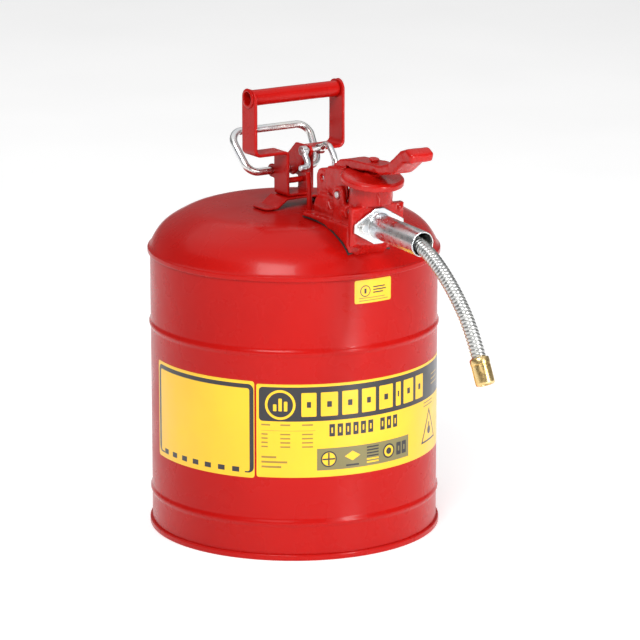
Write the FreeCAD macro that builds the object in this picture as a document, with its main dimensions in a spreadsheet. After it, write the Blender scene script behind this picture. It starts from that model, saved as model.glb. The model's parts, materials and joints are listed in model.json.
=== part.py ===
"""Safety gas can with a self-closing filling lid, a trigger valve and a flexible metal hose.

Frame: +Z up, origin at the centre of the base on the floor, the spout points to -Y,
the carry grip lies along X. All sizes are in millimetres.
"""
import FreeCAD, Part
import math
import os
import Sketcher
from FreeCAD import Placement, Rotation, Vector

os.makedirs("parts", exist_ok=True)
doc = FreeCAD.newDocument("safety_can")
X_AXIS, Y_AXIS, Z_AXIS = Vector(1, 0, 0), Vector(0, 1, 0), Vector(0, 0, 1)

# ---------------------------------------------------------------- driving dimensions
DIMENSIONS = {
    # can
    "seam_radius": 149.2, "wall_radius": 146.6, "sheet": 1.2, "wall_top": 288.0, "wall_bottom": 1.0,
    "hoop_level": 213.2, "low_hoop_level": 38.5, "hoop_rise": 1.4, "hoop_half": 4.0,
    "pan_level": 9.0, "plateau_radius": 92.0, "plateau_level": 331.0, "apex_level": 332.8,
    # carry handle
    "strap_width": 25.4, "strap_sheet": 3.2, "ear_inside": 51.0, "ear_top": 456.4, "ear_round": 9.5,
    "leg_inside": 12.8, "base_level": 346.5, "shelf_level": 391.0, "strap_bend": 7.0,
    "small_bend": 4.6, "grip_level": 447.0, "grip_radius": 8.1, "grip_bore": 6.8, "grip_lip": 10.2,
    # trigger linkage
    "bar_radius": 3.95, "bar_back": 17.6, "bar_level": 366.5, "squeeze_back": 47.5,
    "squeeze_level": 404.0, "loop_half": 48.0, "loop_low_half": 42.0, "loop_bend": 13.0,
    "lug_radius": 7.0, "link_radius": 3.1, "crank_sheet": 3.0, "crank_offset": 8.6,
    "nose_front": 18.4, "nose_level": 391.0, "rod_offset": 20.0,
    "arm_front": 44.0, "arm_level": 364.0, "shaft_front": 67.0, "shaft_level": 372.7,
    # manifold and lid
    "neck_tilt": 9.0, "neck_radius": 21.6, "neck_bore": 17.7, "rim_front": 141.0,
    "rim_level": 380.0, "neck_length": 40.0, "neck_depth": 19.5, "body_front": 127.5,
    "body_radius": 22.6, "throat_radius": 19.5, "throat_level": 349.0, "throat_tilt": 11.4,
    "lid_radius": 31.5, "lid_depth": 7.5,
    "pivot_front": 112.0, "pivot_level": 364.5, "pivot_radius": 3.5, "block_half": 16.0,
    "block_sheet": 2.6, "pad_side": 22.5, "pad_front": 134.0, "pad_level": 352.0,
    "stud_radius": 3.0, "stud_foot": 6.5, "stud_length": 15.9,
    # spout
    "spout_tilt": 3.5, "spout_face": 151.0, "spout_level": 338.5, "spout_boss": 17.5,
    "spout_bore": 10.5, "shield_radius": 12.7, "shield_wall": 1.5, "shield_length": 77.0,
    "pour_port": 9.0, "port_front": 90.0, "vent_radius": 4.0, "vent_side": 19.0, "vent_front": 84.0,
    "finger_reach": 28.0, "finger_tip": 2.6, "flange_sheet": 2.6, "bolt_offset": 19.5, "bolt_radius": 2.4,
    "hose_radius": 7.3, "nozzle_radius": 9.6, "nozzle_length": 27.0,
    # labels
    "label_sheet": 0.3, "label_gap": 0.02,
}
sheet = doc.addObject("Spreadsheet::Sheet", "Dims")
for row, (alias, value) in enumerate(DIMENSIONS.items(), start=1):
    sheet.set("A%d" % row, alias)
    sheet.set("B%d" % row, str(value))
    sheet.setAlias("B%d" % row, alias)
doc.recompute()


def size(alias):
    """The value of a driving dimension, as the sheet holds it."""
    return float(getattr(sheet, alias))


def bind(item, **expressions):
    """Bind properties of a document object to sheet cells."""
    for name, expression in expressions.items():
        item.setExpression(name, expression)
    return item


# ---------------------------------------------------------------- helpers: sketches and bodies
def new_body(label):
    body = doc.addObject("PartDesign::Body", label)
    body.Label = label
    return body


def new_sketch(body, plane, name):
    sketch = body.newObject("Sketcher::SketchObject", name)
    face = [item for item in body.Origin.OriginFeatures if item.Role == plane][0]
    sketch.AttachmentSupport = [(face, "")]
    sketch.MapMode = "FlatFace"
    return sketch


def polygon_sketch(body, plane, name, corners):
    """A closed outline whose corners (pairs of expressions with first values) are all bound."""
    sketch = new_sketch(body, plane, name)
    places = [Vector(x[0], y[0], 0) for x, y in corners]
    for start, end in zip(places, places[1:] + places[:1]):
        sketch.addGeometry(Part.LineSegment(start, end), False)
    count = len(corners)
    for index in range(count):
        sketch.addConstraint(Sketcher.Constraint("Coincident", index, 2, (index + 1) % count, 1))
    for index, (x, y) in enumerate(corners):
        for kind, (value, expression) in (("DistanceX", x), ("DistanceY", y)):
            number = sketch.addConstraint(Sketcher.Constraint(kind, -1, 1, index, 1, value))
            sketch.setExpression("Constraints[%d]" % number, expression)
    return sketch


def dim(*terms):
    """A sum of sheet cells and plain numbers: its value and its expression."""
    total, words = 0.0, []
    for term in terms:
        if isinstance(term, str):
            sign, alias = (-1, term[1:]) if term.startswith("-") else (1, term)
            total += sign * size(alias)
            words.append(("- " if sign < 0 else "+ ") + "Dims." + alias)
        else:
            total += term
            words.append("%+g" % term)
    return total, " ".join(words).lstrip("+ ")


def revolve(body, sketch, name, axis="V_Axis"):
    feature = body.newObject("PartDesign::Revolution", name)
    feature.Profile = sketch
    feature.ReferenceAxis = (sketch, [axis])
    feature.Angle = 360
    body.Tip = feature
    return feature


def pad(body, sketch, name, length, midplane=True):
    feature = body.newObject("PartDesign::Pad", name)
    feature.Profile = sketch
    feature.Midplane = midplane
    feature.setExpression("Length", length)
    body.Tip = feature
    return feature


def round_edges(body, name, radius, wanted):
    """Fillet the edges of the body's tip that the test picks."""
    doc.recompute()
    base = body.Tip
    picked = ["Edge%d" % (number + 1) for number, edge in enumerate(base.Shape.Edges) if wanted(edge)]
    feature = body.newObject("PartDesign::Fillet", name)
    feature.Base = (base, picked)
    feature.setExpression("Radius", radius)
    body.Tip = feature
    return feature


def along(edge, axis):
    """True for a straight edge that runs along an axis."""
    if edge.Curve.TypeId != "Part::GeomLine":
        return False
    return abs(abs(edge.tangentAt(edge.FirstParameter).dot(axis)) - 1) < 1e-6


# ---------------------------------------------------------------- helpers: primitives
def cylinder(name, radius, height, place, direction=Z_AXIS):
    item = bind(doc.addObject("Part::Cylinder", name), Radius=radius, Height=height)
    item.Placement = Placement(place, Rotation(Z_AXIS, direction))
    return item


def box(name, length, width, height, place, turn=Rotation()):
    item = bind(doc.addObject("Part::Box", name), Length=length, Width=width, Height=height)
    item.Placement = Placement(place, turn)
    return item


def fuse(name, *items):
    item = doc.addObject("Part::MultiFuse", name)
    item.Shapes = list(items)
    return item


def cut(name, base, tool):
    item = doc.addObject("Part::Cut", name)
    item.Base, item.Tool = base, tool
    return item


def carve(label, base, *tools):
    """Cut tools from a base one after the other; the last cut carries the label."""
    for number, tool in enumerate(tools, start=1):
        last = number == len(tools)
        base = cut(label if last else "%s_cut_%d" % (label, number), base, tool)
    base.Label = label
    return base


def common(name, base, tool):
    item = doc.addObject("Part::Common", name)
    item.Base, item.Tool = base, tool
    return item


def feature(label, shape):
    """A sub-part whose shape is set directly, for what neither a body nor a primitive fits."""
    item = doc.addObject("Part::Feature", label)
    item.Label = label
    item.Shape = shape
    return item


# ---------------------------------------------------------------- helpers: round bar and wire
def rounded_path(points, bends, closed=False):
    """Straight runs joined by tangent arcs: the arc at each inner point has the radius given."""
    count = len(points)
    starts, ends, arcs = list(points), list(points), {}
    for index in range(count):
        if not closed and index in (0, count - 1):
            continue
        before, here, after = points[index - 1], points[index], points[(index + 1) % count]
        back, forward = (before - here).normalize(), (after - here).normalize()
        half = back.getAngle(forward) / 2
        reach = bends[index] / math.tan(half)
        middle = (back + forward).normalize()
        centre = here + middle * (bends[index] / math.sin(half))
        ends[index], starts[index] = here + back * reach, here + forward * reach
        arcs[index] = Part.Arc(ends[index], centre - middle * bends[index], starts[index])
    edges = []
    for index in range(count if closed else count - 1):
        following = (index + 1) % count
        if (ends[following] - starts[index]).Length > 1e-6:
            edges.append(Part.LineSegment(starts[index], ends[following]).toShape())
        if following in arcs:
            edges.append(arcs[following].toShape())
    return Part.Wire(edges)


def round_bar(path, radius):
    """A round bar that follows a path of lines and arcs."""
    first = path.Edges[0]
    start = first.valueAt(first.FirstParameter)
    direction = first.tangentAt(first.FirstParameter)
    section = Part.Wire(Part.makeCircle(radius, start, direction))
    return path.makePipeShell([section], True, False)


def in_plane(x, *pairs):
    """Points at one X from (forward, level) pairs; forward is the distance towards the spout."""
    return [Vector(x, -forward, level) for forward, level in pairs]


# ================================================================ can
def can_wall():
    """Rolled wall with two rolling hoops, pressed outwards."""
    body = new_body("body_shell")
    hoops = ("low_hoop_level", "hoop_level")
    outer = [(dim("wall_radius"), dim("wall_bottom"))]
    for level in hoops:
        outer += [(dim("wall_radius"), dim(level, "-hoop_half")),
                  (dim("wall_radius", "hoop_rise"), dim(level)),
                  (dim("wall_radius"), dim(level, "hoop_half"))]
    outer.append((dim("wall_radius"), dim("wall_top")))
    inner = [(dim("wall_radius", "-sheet"), dim("wall_top"))]
    for level in reversed(hoops):
        inner += [(dim("wall_radius", "-sheet"), dim(level, "hoop_half")),
                  (dim("wall_radius", "-sheet", "hoop_rise"), dim(level)),
                  (dim("wall_radius", "-sheet"), dim(level, "-hoop_half"))]
    inner.append((dim("wall_radius", "-sheet"), dim("wall_bottom")))
    revolve(body, polygon_sketch(body, "XZ_Plane", "wall_outline", outer + inner), "wall")
    return body


def bottom_pan():
    """Recessed bottom, folded round the foot of the wall."""
    body = new_body("bottom_pan")
    seam_top = 5.4
    corners = [(dim(0), dim("pan_level")), (dim("wall_radius", "-sheet", "-sheet"), dim("pan_level")),
               (dim("wall_radius", "-sheet", "-sheet"), dim(0)), (dim("seam_radius"), dim(0)),
               (dim("seam_radius"), dim("wall_bottom", seam_top)),
               (dim("wall_radius"), dim("wall_bottom", seam_top)),
               (dim("wall_radius"), dim("wall_bottom")), (dim("wall_radius", "-sheet"), dim("wall_bottom")),
               (dim("wall_radius", "-sheet"), dim("pan_level", "sheet")),
               (dim(0), dim("pan_level", "sheet"))]
    revolve(body, polygon_sketch(body, "XZ_Plane", "pan_outline", corners), "pan")
    round_edges(body, "seam_round", "Dims.sheet", lambda edge: edge.Curve.TypeId == "Part::GeomCircle"
                and edge.Curve.Radius > size("seam_radius") - 0.01)
    return body


def dome_curve():
    """Outer profile of the dome in (radius, level): flat plateau, then a rounded shoulder."""
    plateau, top = size("plateau_radius"), size("plateau_level")
    shoulder = [(13, -3.0), (28, -9.4), (41, -17.6), (50, -27.7)]
    places = [Vector(0, size("apex_level"), 0), Vector(plateau * 0.55, top + 1.2, 0), Vector(plateau, top, 0)]
    places += [Vector(plateau + out, top + down, 0) for out, down in shoulder]
    places.append(Vector(size("wall_radius") + 0.4, size("wall_top") + 3.2, 0))
    curve = Part.BSplineCurve()
    curve.interpolate(Points=places, InitialTangent=Vector(1, 0, 0), FinalTangent=Vector(0.1, -1, 0))
    return curve


def dome_offset(curve, gap):
    """The dome's profile moved inwards by a gap."""
    places = []
    stations = 9
    for step in range(stations):
        share = step / (stations - 1)
        parameter = curve.FirstParameter + (curve.LastParameter - curve.FirstParameter) * share
        place, tangent = curve.value(parameter), curve.tangent(parameter)[0]
        places.append(place + Vector(tangent.y, -tangent.x, 0) * gap)
    places[0].x = 0
    inner = Part.BSplineCurve()
    inner.interpolate(Points=places)
    return inner


def top_dome():
    """Pressed top, folded over the wall as a seam, with ports under the manifold."""
    body = new_body("dome_pressing")
    sketch = new_sketch(body, "XZ_Plane", "dome_outline")
    outer = dome_curve()
    inner = dome_offset(outer, size("sheet"))
    wall, seam, top = size("wall_radius"), size("seam_radius"), size("wall_top")
    seam_drop, corner = 2.6, 1.2
    lip = [outer.EndPoint, Vector(seam, top + seam_drop - corner, 0),
           Vector(seam, top - seam_drop + corner, 0),
           Vector(seam - corner, top - seam_drop, 0), Vector(wall, top - seam_drop, 0), Vector(wall, top, 0),
           inner.EndPoint]
    sketch.addGeometry(outer, False)
    sketch.addGeometry(inner, False)
    for start, end in zip(lip, lip[1:]):
        sketch.addGeometry(Part.LineSegment(start, end), False)
    sketch.addGeometry(Part.LineSegment(inner.StartPoint, outer.StartPoint), False)
    revolve(body, sketch, "dome")
    filling_port = throat("filling_port", "Dims.throat_radius + 0.6")
    pouring_port = cylinder("pouring_port", "Dims.pour_port", "40", Vector(0, -size("port_front"), 310))
    vent_port = cylinder("vent_port", "Dims.vent_radius + 0.3", "40", vent_foot(310))
    return carve("top_dome", body, filling_port, pouring_port, vent_port)


def vent_foot(level):
    """The vent tube's axis at one level."""
    return Vector(size("vent_side"), -size("vent_front"), level)


def neck_axis():
    """Direction of the filling neck, which leans towards the spout."""
    tilt = math.radians(size("neck_tilt"))
    return Vector(0, -math.sin(tilt), math.cos(tilt))


def rim_centre():
    return Vector(0, -size("rim_front"), size("rim_level"))


def tilted_cylinder(name, radius, height, below):
    """A cylinder on the neck's axis that starts a distance below the rim."""
    return cylinder(name, radius, height, rim_centre() - neck_axis() * below, neck_axis())


def throat(name, radius):
    """The leaning passage from the foot of the filling neck down into the can."""
    tilt, length = math.radians(size("throat_tilt")), 70.0
    up = Vector(0, -math.sin(tilt), math.cos(tilt))
    top = Vector(0, -size("body_front"), size("throat_level"))
    return cylinder(name, radius, str(length), top - up * length, up)


def dome_fill(name, lift):
    """Everything under the dome's outer skin, moved up by a lift: what sits on the dome is cut with it."""
    curve = dome_curve()
    end, start = curve.EndPoint, curve.StartPoint
    floor = 250.0
    outline = Part.Wire([curve.toShape(), Part.makeLine(end, Vector(end.x, floor, 0)),
                         Part.makeLine(Vector(end.x, floor, 0), Vector(0, floor, 0)),
                         Part.makeLine(Vector(0, floor, 0), start)])
    face = Part.Face(outline)
    face.rotate(Vector(), X_AXIS, 90)
    item = doc.addObject("Part::Feature", name)
    item.Shape = face.revolve(Vector(), Z_AXIS, 360)
    item.Placement = Placement(Vector(0, 0, lift), Rotation())
    return item


def label_patch(label, middle, spread, bottom, height):
    """A thin label on the wall: middle is its bearing from -Y towards +X, spread its width in degrees."""
    outer = cylinder(label + "_outer", "Dims.wall_radius + Dims.label_gap + Dims.label_sheet", str(height),
                     Vector(0, 0, bottom))
    outer.Angle = spread
    outer.Placement = Placement(Vector(0, 0, bottom), Rotation(Z_AXIS, middle - 90 - spread / 2))
    inner = cylinder(label + "_inner", "Dims.wall_radius + Dims.label_gap", str(height + 2),
                     Vector(0, 0, bottom - 1))
    patch = cut(label, outer, inner)
    patch.Label = label
    return patch


# ================================================================ carry handle
def handle_strap():
    """One bent strap: ears, shelves, legs and base, with two lugs behind the legs for the trigger."""
    body = new_body("strap_bending")
    ear, leg, thick = "ear_inside", "leg_inside", "strap_sheet"
    half = [(dim(leg), dim("base_level")), (dim(leg), dim("shelf_level")), (dim(ear), dim("shelf_level")),
            (dim(ear), dim("ear_top")), (dim(ear, thick), dim("ear_top")),
            (dim(ear, thick), dim("shelf_level", "-" + thick)),
            (dim(leg, thick), dim("shelf_level", "-" + thick)),
            (dim(leg, thick), dim("base_level", "-" + thick))]
    mirrored = [((-x[0], "-(%s)" % x[1]), y) for x, y in reversed(half)]
    sketch = polygon_sketch(body, "XZ_Plane", "strap_outline", half + mirrored)
    pad(body, sketch, "strap", "Dims.strap_width")

    def bend(edge, reach, level):
        middle = edge.CenterOfMass
        return along(edge, Y_AXIS) and abs(abs(middle.x) - reach) < 0.1 and abs(middle.z - level) < 0.1

    shelf, base, sheet_gauge = size("shelf_level"), size("base_level"), size(thick)
    outside = [(size(ear) + sheet_gauge, shelf - sheet_gauge)]
    snug = [(size(ear), shelf), (size(leg), shelf), (size(leg) + sheet_gauge, base - sheet_gauge)]
    tight = [(size(leg) + sheet_gauge, shelf - sheet_gauge), (size(leg), base)]
    for name, radius, places in (("outer_bends", "Dims.strap_bend", outside),
                                 ("inner_bends", "Dims.small_bend", snug), ("tight_bends", "1.4", tight)):
        round_edges(body, name, radius, lambda edge: any(bend(edge, *place) for place in places))
    round_edges(body, "ear_rounds", "Dims.ear_round",
                lambda edge: along(edge, X_AXIS) and edge.CenterOfMass.z > size("ear_top") - 0.1)
    lugs = []
    for side in (-1, 1):
        inner = size(leg) if side > 0 else -size(leg) - sheet_gauge
        lugs.append(cylinder("lug_round_%d" % side, "Dims.lug_radius", "Dims.strap_sheet",
                             Vector(inner, size("bar_back"), size("bar_level")), X_AXIS))
        lugs.append(box("lug_web_%d" % side, "Dims.strap_sheet", "Dims.bar_back - Dims.strap_width / 2 + 1",
                        "2 * Dims.lug_radius",
                        Vector(inner, size("strap_width") / 2 - 1, size("bar_level") - size("lug_radius"))))
    span = "2 * (Dims.ear_inside + Dims.strap_sheet) + 4"
    reach = size(ear) + sheet_gauge + 2
    holes = fuse("strap_holes",
                 cylinder("grip_hole", "Dims.grip_radius", span, Vector(-reach, 0, size("grip_level")),
                          X_AXIS),
                 cylinder("bar_hole", "Dims.bar_radius + 0.05", span,
                          Vector(-reach, size("bar_back"), size("bar_level")), X_AXIS))
    strap = cut("handle_strap", fuse("strap_with_lugs", body, *lugs), holes)
    strap.Label = "handle_strap"
    return strap


def grip_tube():
    """Hollow grip with a rolled lip outside each ear."""
    body = new_body("grip_tube")
    half = ("ear_inside", "strap_sheet")
    lip = 1.6
    right = [(dim(*half), dim("grip_radius")), (dim(*half), dim("grip_lip")),
             (dim(*half, 0.9), dim("grip_lip")),
             (dim(*half, lip), dim("grip_bore", 1.2)), (dim(*half, lip), dim("grip_bore"))]
    left = [((-x[0], "-(%s)" % x[1]), y) for x, y in reversed(right)]
    revolve(body, polygon_sketch(body, "XZ_Plane", "grip_outline", right + left), "grip", "H_Axis")
    body.Placement = Placement(Vector(0, 0, size("grip_level")), Rotation())
    return body


def handle_saddle():
    """Pressed bridge under the strap, with a sloping foot on each side."""
    body = new_body("handle_saddle")
    gauge, top_half, foot_start, foot_end = 2.0, 17.0, 29.0, 43.0
    foot = size("apex_level") + 0.15
    under_strap = size("base_level") - size("strap_sheet")
    lower = [(top_half, under_strap - gauge), (foot_start, foot), (foot_end, foot)]
    upper = [(foot_end, foot + gauge), (foot_start + 1.0, foot + gauge), (top_half + 1.0, under_strap)]
    right = [((x, str(x)), (z, str(z))) for x, z in lower + upper]
    left = [((-x[0], "-(%s)" % x[1]), y) for x, y in reversed(right)]
    pad(body, polygon_sketch(body, "XZ_Plane", "saddle_outline", right + left), "saddle",
        "Dims.strap_width + 6")
    round_edges(body, "foot_rounds", "8",
                lambda edge: along(edge, Z_AXIS) and abs(edge.CenterOfMass.x) > foot_end - 0.1)
    return body


def cross_pin():
    pin = cylinder("handle_cross_pin", "3", "2 * Dims.leg_inside",
                   Vector(-size("leg_inside"), 4.0, size("base_level") + 10.5), X_AXIS)
    pin.Label = "handle_cross_pin"
    return pin


def stop_hook():
    """Wire hook that stands on the dome in front of the saddle."""
    x, foot, front = -6.6, size("apex_level") - 0.4, 39.0
    path = rounded_path(in_plane(x, (front, foot), (front, 358.0), (front - 2.5, 373.0)), [0, 16.0, 0])
    washer = Part.makeCylinder(6.5, 1.6, Vector(x, -front, foot), Z_AXIS)
    return feature("stop_hook", round_bar(path, size("link_radius") - 0.3).fuse(washer))


# ================================================================ trigger linkage
def trigger_loop():
    """Closed loop of round bar: it turns in the lugs on its lower run, and its upper run is squeezed."""
    low, high = size("loop_low_half"), size("loop_half")
    back, level = size("bar_back"), size("bar_level")
    far, top = size("squeeze_back"), size("squeeze_level")
    corners = [Vector(-low, back, level), Vector(low, back, level), Vector(high, far, top),
               Vector(-high, far, top)]
    path = rounded_path(corners, [size("loop_bend")] * 4, closed=True)
    return feature("trigger_loop", round_bar(path, size("bar_radius")))


def crank_plate():
    """Plate on the loop's lower run, between the legs, that carries the nose pin."""
    body = new_body("crank_blank")
    back, level, nose, top = size("bar_back"), size("bar_level"), size("nose_front"), size("nose_level")
    outline = [(-(back + 7.0), level - 4.0), (-(back + 7.0), level + 12.0), (-6.0, top + 4.0),
               (nose + 1.0, top + 4.5), (nose + 5.0, top), (nose + 2.0, top - 5.0),
               (-back + 6.0, level - 6.0)]
    corners = [((forward, "%g" % forward), (z, "%g" % z)) for forward, z in outline]
    sketch = polygon_sketch(body, "XZ_Plane", "crank_outline", corners)
    pad(body, sketch, "crank", "Dims.crank_sheet", midplane=False)
    body.Placement = Placement(Vector(size("crank_offset"), 0, 0), Rotation(Z_AXIS, -90))
    holes = fuse("crank_holes",
                 cylinder("crank_bar_hole", "Dims.bar_radius", "40", Vector(-10, back, level), X_AXIS),
                 cylinder("crank_nose_hole", "2.6", "40", Vector(-10, -nose, top), X_AXIS))
    plate = cut("crank_plate", body, holes)
    plate.Label = "crank_plate"
    return plate


def crank_pin():
    pin = cylinder("crank_pin", "2.6", "28.5", Vector(-3.6, -size("nose_front"), size("nose_level")), X_AXIS)
    pin.Label = "crank_pin"
    return pin


def eye(x, place, inner, width):
    """A flattened eye at the end of a wire, round a pin that lies along X."""
    start = Vector(x - width / 2, place.y, place.z)
    ring = Part.makeCylinder(inner + 2.4, width, start, X_AXIS)
    return ring.cut(Part.makeCylinder(inner, width + 2, start - X_AXIS, X_AXIS))


def stop_link():
    """Wire from the nose pin down to a sideways foot behind the stop hook."""
    radius, nose, top = size("link_radius"), size("nose_front"), size("nose_level")
    points = in_plane(0.0, (nose + 2.6, top - 3.4), (nose + 9.6, top - 15.0))
    points.append(Vector(-11.0, -(nose + 10.2), top - 15.6))
    wire = round_bar(rounded_path(points, [0, 6.0, 0]), radius)
    head = eye(0.0, Vector(0, -nose, top), 2.6, 2 * radius)
    return feature("stop_link", wire.fuse(head))


def pull_rod():
    """Wire rod from the nose pin, over and down to the valve arm."""
    radius, x = size("link_radius"), size("rod_offset")
    nose, top = size("nose_front"), size("nose_level")
    arm, low = size("arm_front"), size("arm_level")
    points = in_plane(x, (nose + 3.6, top + 2.6), (nose + 14.0, top + 9.0), (arm + 2.0, top - 6.0),
                      (arm, low + 4.8))
    wire = round_bar(rounded_path(points, [0, 10.0, 14.0, 0]), radius)
    upper = eye(x, Vector(0, -nose, top), 2.65, 2 * radius)
    lower = eye(x, Vector(0, -arm, low), 3.3, 2 * radius)
    return feature("pull_rod", wire.fuse([upper, lower]))


def valve_arm():
    """Arm outside the manifold: a hub on the valve shaft and a pin for the pull rod."""
    inside = size("rod_offset") + size("link_radius") + 0.4
    gauge = 3.2
    arm, low = size("arm_front"), size("arm_level")
    front, level = size("shaft_front"), size("shaft_level")
    hub = cylinder("arm_hub", "6", str(gauge), Vector(inside, -front, level), X_AXIS)
    tip = cylinder("arm_tip", "5", str(gauge), Vector(inside, -arm, low), X_AXIS)
    length = math.hypot(front - arm, level - low)
    slope = math.degrees(math.atan2(low - level, front - arm))
    turn = Rotation(X_AXIS, slope)
    web = box("arm_web", str(gauge), str(length), "8",
              Vector(inside, -front, level) - turn.multVec(Z_AXIS) * 4, turn)
    pin_start = size("rod_offset") - size("link_radius") - 1.0
    pin = cylinder("arm_pin", "2.6", str(inside + gauge + 1.0 - pin_start), Vector(pin_start, -arm, low),
                   X_AXIS)
    arm_item = fuse("valve_arm", hub, tip, web, pin)
    arm_item.Label = "valve_arm"
    return arm_item


def valve_shaft():
    start = -8.0
    shaft = cylinder("valve_shaft", "3", "%g" % (size("rod_offset") + size("link_radius") + 0.4 - start),
                     Vector(start, -size("shaft_front"), size("shaft_level")), X_AXIS)
    shaft.Label = "valve_shaft"
    return shaft


def valve_finger():
    """Finger on the shaft, inside the casting, that pushes the valve's stem forwards."""
    width, reach, tip_radius = 7.0, size("finger_reach"), size("finger_tip")
    start = Vector(-width / 2, -size("shaft_front"), size("shaft_level"))
    hub = cylinder("finger_hub", "5", str(width), start, X_AXIS)
    web = box("finger_web", str(width), "3", str(reach), start - Vector(0, 1.5, reach))
    tip = cylinder("finger_round", "Dims.finger_tip", str(width), start - Z_AXIS * reach, X_AXIS)
    bore = cylinder("finger_bore", "3", str(width + 2), start - X_AXIS, X_AXIS)
    return carve("valve_finger", fuse("finger_solid", hub, web, tip), bore)


# ================================================================ manifold and filling lid
def spout_frame():
    """Placement of the spout group: its own +Z runs out along the spout, its +X along the row's +X."""
    turn = Rotation(X_AXIS, 90 + size("spout_tilt"))
    return Placement(Vector(0, -size("spout_face"), size("spout_level")), turn)


def spout_cylinder(name, radius, height, start, across=(0.0, 0.0)):
    """A cylinder on the spout's axis: it starts a distance out from the manifold's face."""
    item = bind(doc.addObject("Part::Cylinder", name), Radius=radius, Height=height)
    item.Placement = spout_frame().multiply(Placement(Vector(across[0], across[1], start), Rotation()))
    return item


def lever_room(ear_inside):
    """What the lever sweeps while it turns: cut from the casting, but not from its neck and spring rib."""
    pivot = Vector(0, -size("pivot_front"), size("pivot_level"))
    body = new_body("lever_path")
    outline = [(-10.0, 35.5), (-10.0, -10.0), (0.0, -12.5), (23.5, -20.9), (31.5, -8.5), (35.8, 0.0),
               (35.8, 35.5)]
    corners = [(pivot.y + forward, pivot.z + level) for forward, level in outline]
    sketch = polygon_sketch(body, "YZ_Plane", "path_outline",
                            [((y, "%g" % y), (z, "%g" % z)) for y, z in corners])
    pad(body, sketch, "path", "%g" % (2 * ear_inside))
    rib_half, rib_radius, floor_level = 12.9, 20.4, 359.2
    rib = cylinder("path_rib", str(rib_radius), str(2 * rib_half), Vector(-rib_half, pivot.y, pivot.z),
                   X_AXIS)
    floor = box("path_floor", str(2 * rib_half), "80", "30",
                Vector(-rib_half, pivot.y - 20, floor_level - 30))
    neck = tilted_cylinder("path_neck", "Dims.neck_radius", "Dims.neck_length", size("neck_length"))
    return cut("lever_path_cut", body, fuse("path_kept", rib, floor, neck))


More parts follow.
